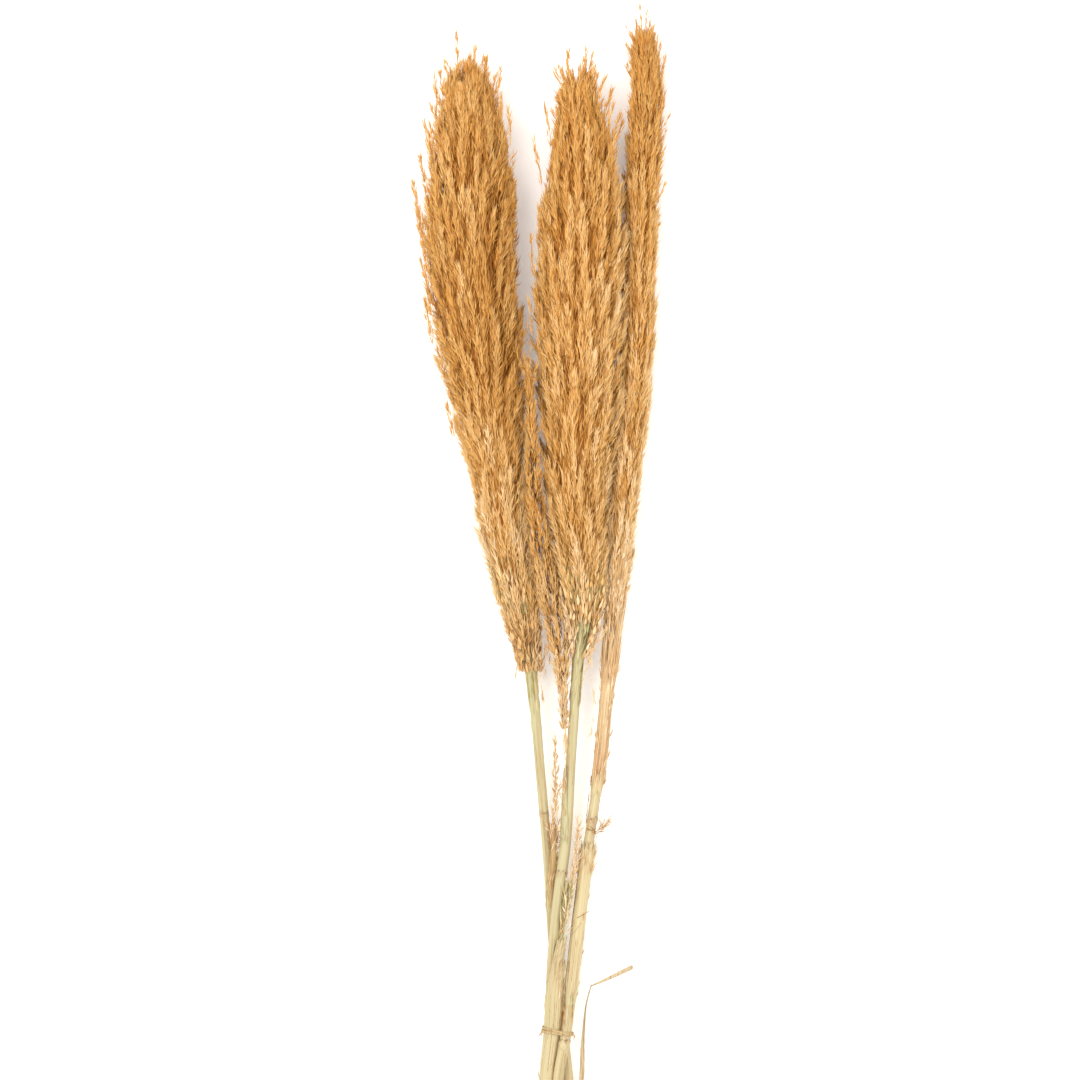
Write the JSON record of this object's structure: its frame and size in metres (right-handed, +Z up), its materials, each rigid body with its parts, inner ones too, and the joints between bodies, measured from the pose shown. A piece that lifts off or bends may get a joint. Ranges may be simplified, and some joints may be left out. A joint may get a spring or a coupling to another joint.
{
  "type": "bundle of dried pampas grass",
  "caption": "Hand-tied bundle of dried pampas grass lying flat: feathery plumes on long stalks, with torn leaf sheaths, small side sprays, a dry leaf and a raffia tie",
  "frame": {"origin": "on the table under the middle of the bundle's bounding box", "axes": "+Y runs along the bundle from the cut stalks to the plume tips, +X across it to the right seen from above, +Z up from the table"},
  "size_m": [0.2732, 1.2004, 0.0718],
  "materials": {
    "stalk": "satin",
    "plume": "matte",
    "spray": "matte",
    "sheath": "matte",
    "leaf": "matte",
    "raffia": "matte"
  },
  "bodies": {
    "root": {"stalk_left": "stalk", "stalk_middle": "stalk", "stalk_right": "stalk", "plume_left": "plume", "plume_middle": "plume", "plume_right": "plume", "plume_slender": "spray", "spray_left": "spray", "spray_middle": "spray", "sprig_right": "spray", "sheath_left": "sheath", "sheath_middle_upper": "sheath", "sheath_middle_lower": "sheath", "sheath_right_upper": "sheath", "sheath_right_lower": "sheath", "leaf_strip": "leaf", "raffia_tie": "raffia"}
  },
  "joints": []
}
